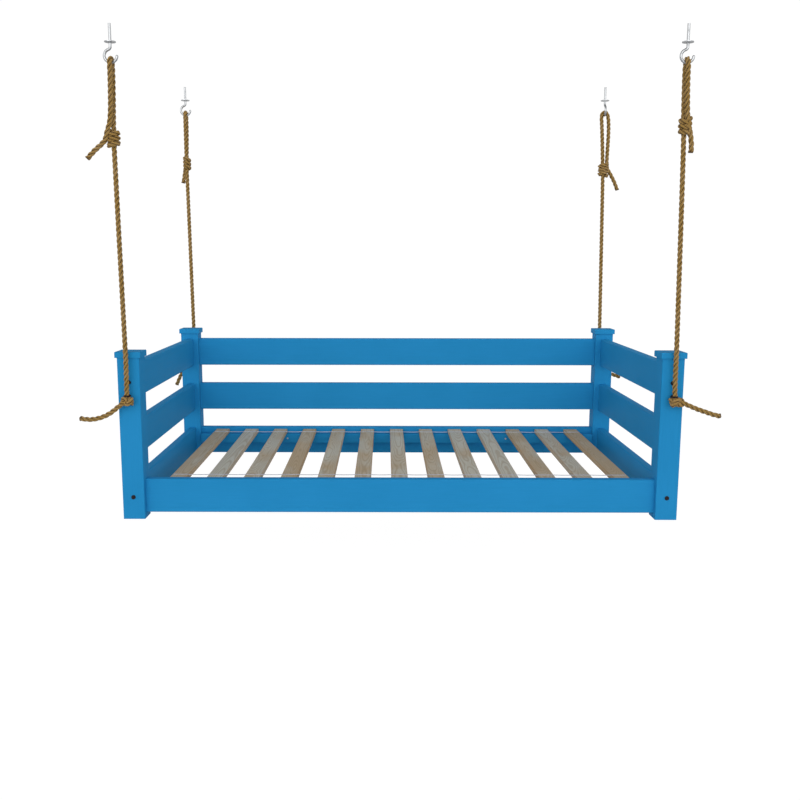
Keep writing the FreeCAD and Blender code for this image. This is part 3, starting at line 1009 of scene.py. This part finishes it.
@dataclass
class Deck:
    """The slats and the tapes that keep their spacing."""

    tape_thick: float = 1.6 * MM
    dip: float = 1.2 * MM       # how far a tape sags between slats
    ease: float = 35 * MM       # how far past a slat's edge the sag is full
    crown: float = 0.5 * MM     # how much higher a tape's middle is than its edges
    lift: float = 0.05 * MM     # the gap under a tape
    rings: int = 480            # along a tape
    columns: int = 4            # across a tape

    def slat_names(self) -> list[str]:
        """The slats' nodes from left to right."""
        return sorted(name for name in frame["nodes"] if name.startswith("slat_"))

    def finish(self) -> bpy.types.Material:
        """Build the slats' material from their places in the frame.

        Returns:
            One material for all of them.
        """
        boxes = [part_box(name) for name in self.slat_names()]
        middles = [(low[0] + high[0]) / 2 for low, high in boxes]
        pitch = (middles[-1] - middles[0]) / (len(middles) - 1)
        low, high = boxes[0]
        return WeatheredSlat(middle=middles[0], pitch=pitch, width=high[0] - low[0], top=high[2],
                             thick=high[2] - low[2]).make()

    def build(self) -> None:
        """Dress the slats and lay the tapes."""
        wood = self.finish()
        for name in self.slat_names():
            dress(name, wood)
        for row in ("front", "back"):
            self._tape(row + "_tape")
        dress("tape_staples", FINISHES["zinc"])
        LOG.info("laid %d slats and two tapes", len(self.slat_names()))

    def _sag(self, x: float, slats: Sequence[tuple[Any, Any]]) -> float:
        """How far a tape hangs under its height on the slats.

        Args:
            x: the place along the deck.
            slats: the slats' boxes.

        Returns:
            The drop: nothing on a slat, and the whole dip in the open.
        """
        drop = self.dip
        for left, right in slats:
            inside = min(x - left[0], right[0] - x)
            drop = min(drop, self.dip * min(max(-inside / self.ease, 0.0), 1.0) ** 0.5)
        return drop

    def _tape(self, node: str) -> None:
        """Lay a tape on the slats, dipping a little between them.

        Args:
            node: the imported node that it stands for.
        """
        low, high = (Vector(corner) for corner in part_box(node))
        slats = [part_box(name) for name in self.slat_names()]
        width, across = high.y - low.y, range(self.columns + 1)
        mesh = bmesh.new()
        rows = []
        for number in range(self.rings + 1):
            x = low.x + (high.x - low.x) * number / self.rings
            drop = self._sag(x, slats)
            row = []
            for column in across:
                crown = self.crown * math.sin(math.pi * column / self.columns)
                y = low.y + width * column / self.columns
                row.append(mesh.verts.new((x, y, low.z + self.tape_thick + crown - drop)))
            for column in reversed(across):
                y = low.y + width * column / self.columns
                row.append(mesh.verts.new((x, y, low.z + self.lift - drop)))
            rows.append(row[::-1])
        skin(mesh, rows)
        piece = new_piece(node + "_woven", mesh, "tape", smooth=False)
        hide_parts(node)
        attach(piece, "frame")


@dataclass
class Hardware:
    """Bolts, nuts, screws, eyes and hooks."""

    finishes: dict[str, str] = field(default_factory=lambda: {
        "rail_bolts": "dark", "screw_eyes": "dark", "barrel_nuts": "zinc", "cleat_screws": "zinc",
        "ceiling_hooks": "zinc", "rail_dowels": "beech"})

    def dress(self) -> None:
        """Give each group of fasteners its metal."""
        for name, finish in self.finishes.items():
            dress(name, FINISHES[finish])
        LOG.info("dressed %d groups of hardware", len(self.finishes))


# ---------------------------------------------------------------- studio
@dataclass
class Studio:
    """A white room: pale floor, soft light from the front, and the camera."""

    eye: tuple[float, float, float] = (-0.0464, -3.8970, -0.7348)
    yaw: float = 0.178
    pitch: float = -9.015
    roll: float = 0.066
    lens: float = 40.799
    sensor: float = 36
    shift: float = 0.0225
    clip: float = 200
    floor_drop: float = 0.25    # from the posts' feet
    floor_half: float = 60
    floor_glow: float = 1.08    # how bright the floor is to the camera
    floor_share: float = 0.9    # and how much of that glow it sees
    backdrop: float = 1.02      # how bright the far room is to the camera
    ambient: float = 1.03       # its square is the strength of the light from the sides
    overhead: float = 0.38      # the share of it that comes from above
    behind: float = 0.35        # the share of it that comes from behind
    key: float = 1.5
    key_from: tuple[float, float, float] = (-0.05, -1.0, 0.12)
    key_spread: float = 70      # degrees

    def build(self) -> None:
        """Set up camera, floor, world and lights."""
        self._camera()
        self._floor()
        self._world()
        self._key()
        bpy.context.scene.view_settings.view_transform = "Standard"
        LOG.info("studio ready")

    def _camera(self) -> None:
        """Put the camera in front of the swing, a little above its posts."""
        data = bpy.data.cameras.new("camera")
        data.lens, data.sensor_width, data.shift_x = self.lens, self.sensor, self.shift
        data.clip_end = self.clip
        camera = placed("camera", data)
        pitch, lean = math.radians(self.pitch), math.radians(self.roll)
        heading = Matrix.Rotation(math.radians(self.yaw), 3, "Z")
        forward = heading @ Vector((0, math.cos(pitch), math.sin(pitch)))
        right = forward.cross(Vector((0, 0, 1))).normalized()
        up = right.cross(forward)
        across = right * math.cos(lean) + up * math.sin(lean)
        top = up * math.cos(lean) - right * math.sin(lean)
        turn = Matrix((across, top, -forward)).transposed().to_4x4()
        camera.matrix_world = Matrix.Translation(self.eye) @ turn
        bpy.context.scene.camera = camera

    def _floor(self) -> None:
        """Lay a wide pale floor, well below the hanging frame."""
        half = self.floor_half
        low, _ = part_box("front_left_post")
        height = low[2] - self.floor_drop
        data = bpy.data.meshes.new("floor")
        corners = [(-half, -half), (half, -half), (half, half), (-half, half)]
        data.from_pydata([(x, y, height) for x, y in corners], [], [(0, 1, 2, 3)])
        floor = placed("floor", data)
        shader = Shader("pale_floor")
        shader.finish(Base_Color=(0.8, 0.8, 0.8), Roughness=0.9)
        glow = shader.add("ShaderNodeEmission", inputs={"Strength": self.floor_glow})
        matt = Wire(shader, shader.surface.outputs["BSDF"])
        both = shader.either(shader.seen() * self.floor_share, matt, glow["Emission"])
        shader.feed(shader.output.inputs["Surface"], both)
        data.materials.append(shader.material)

    def _world(self) -> None:
        """White where it is seen, softer where it lights, and dimmer overhead and behind."""
        world = bpy.data.worlds.new("studio")
        bpy.context.scene.world = world
        world.use_nodes = True
        tree = NodeTree(world.node_tree)
        _, y, z = tree.parts(tree.add("ShaderNodeTexCoord")["Generated"])
        strength = z.between(0.15, 0.9, self.ambient, self.ambient * self.overhead)
        strength *= y.between(0.5, 0.95, self.ambient, self.ambient * self.behind)
        white = (1.0, 1.0, 1.0)
        soft = tree.add("ShaderNodeBackground", inputs={"Color": white, "Strength": strength})
        bright = tree.add("ShaderNodeBackground", inputs={"Color": white, "Strength": self.backdrop})
        both = tree.either(tree.seen(), soft["Background"], bright["Background"])
        tree.add("ShaderNodeOutputWorld", inputs={"Surface": both})

    def _key(self) -> None:
        """Hang a broad soft light in front of the swing."""
        data = bpy.data.lights.new("key", "SUN")
        data.energy = self.key
        data.angle = math.radians(self.key_spread)
        lamp = placed("key", data)
        lamp.rotation_euler = (-Vector(self.key_from)).to_track_quat("-Z", "Y").to_euler()


# ---------------------------------------------------------------- the whole scene
def make_finishes() -> None:
    """Build every finish but the slats', which needs their places."""
    for run in Run:
        FINISHES["paint_" + run.name.lower()] = SatinPaint(run).make()
    FINISHES["rope"] = RopeFibre().make()
    FINISHES["tape"] = GreyTape().make()
    FINISHES["dark"] = Steel("oiled_steel", srgb(38, 30, 34), srgb(58, 44, 40), 0.7, 0.4).make()
    FINISHES["zinc"] = Steel("zinc_steel", srgb(196, 198, 200), srgb(158, 160, 162), 1.0, 0.28).make()
    FINISHES["beech"] = TurnedBeech().make()


def main() -> None:
    """Build the whole scene in order."""
    logging.basicConfig(level=logging.INFO, format="%(name)s: %(message)s")
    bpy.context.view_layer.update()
    make_finishes()
    Studio().build()
    for corner in Corner:
        HangingRope(corner).build()
    TimberFrame().dress()
    Deck().build()
    Hardware().dress()
    bpy.context.view_layer.update()


if __name__ == "__main__":
    main()
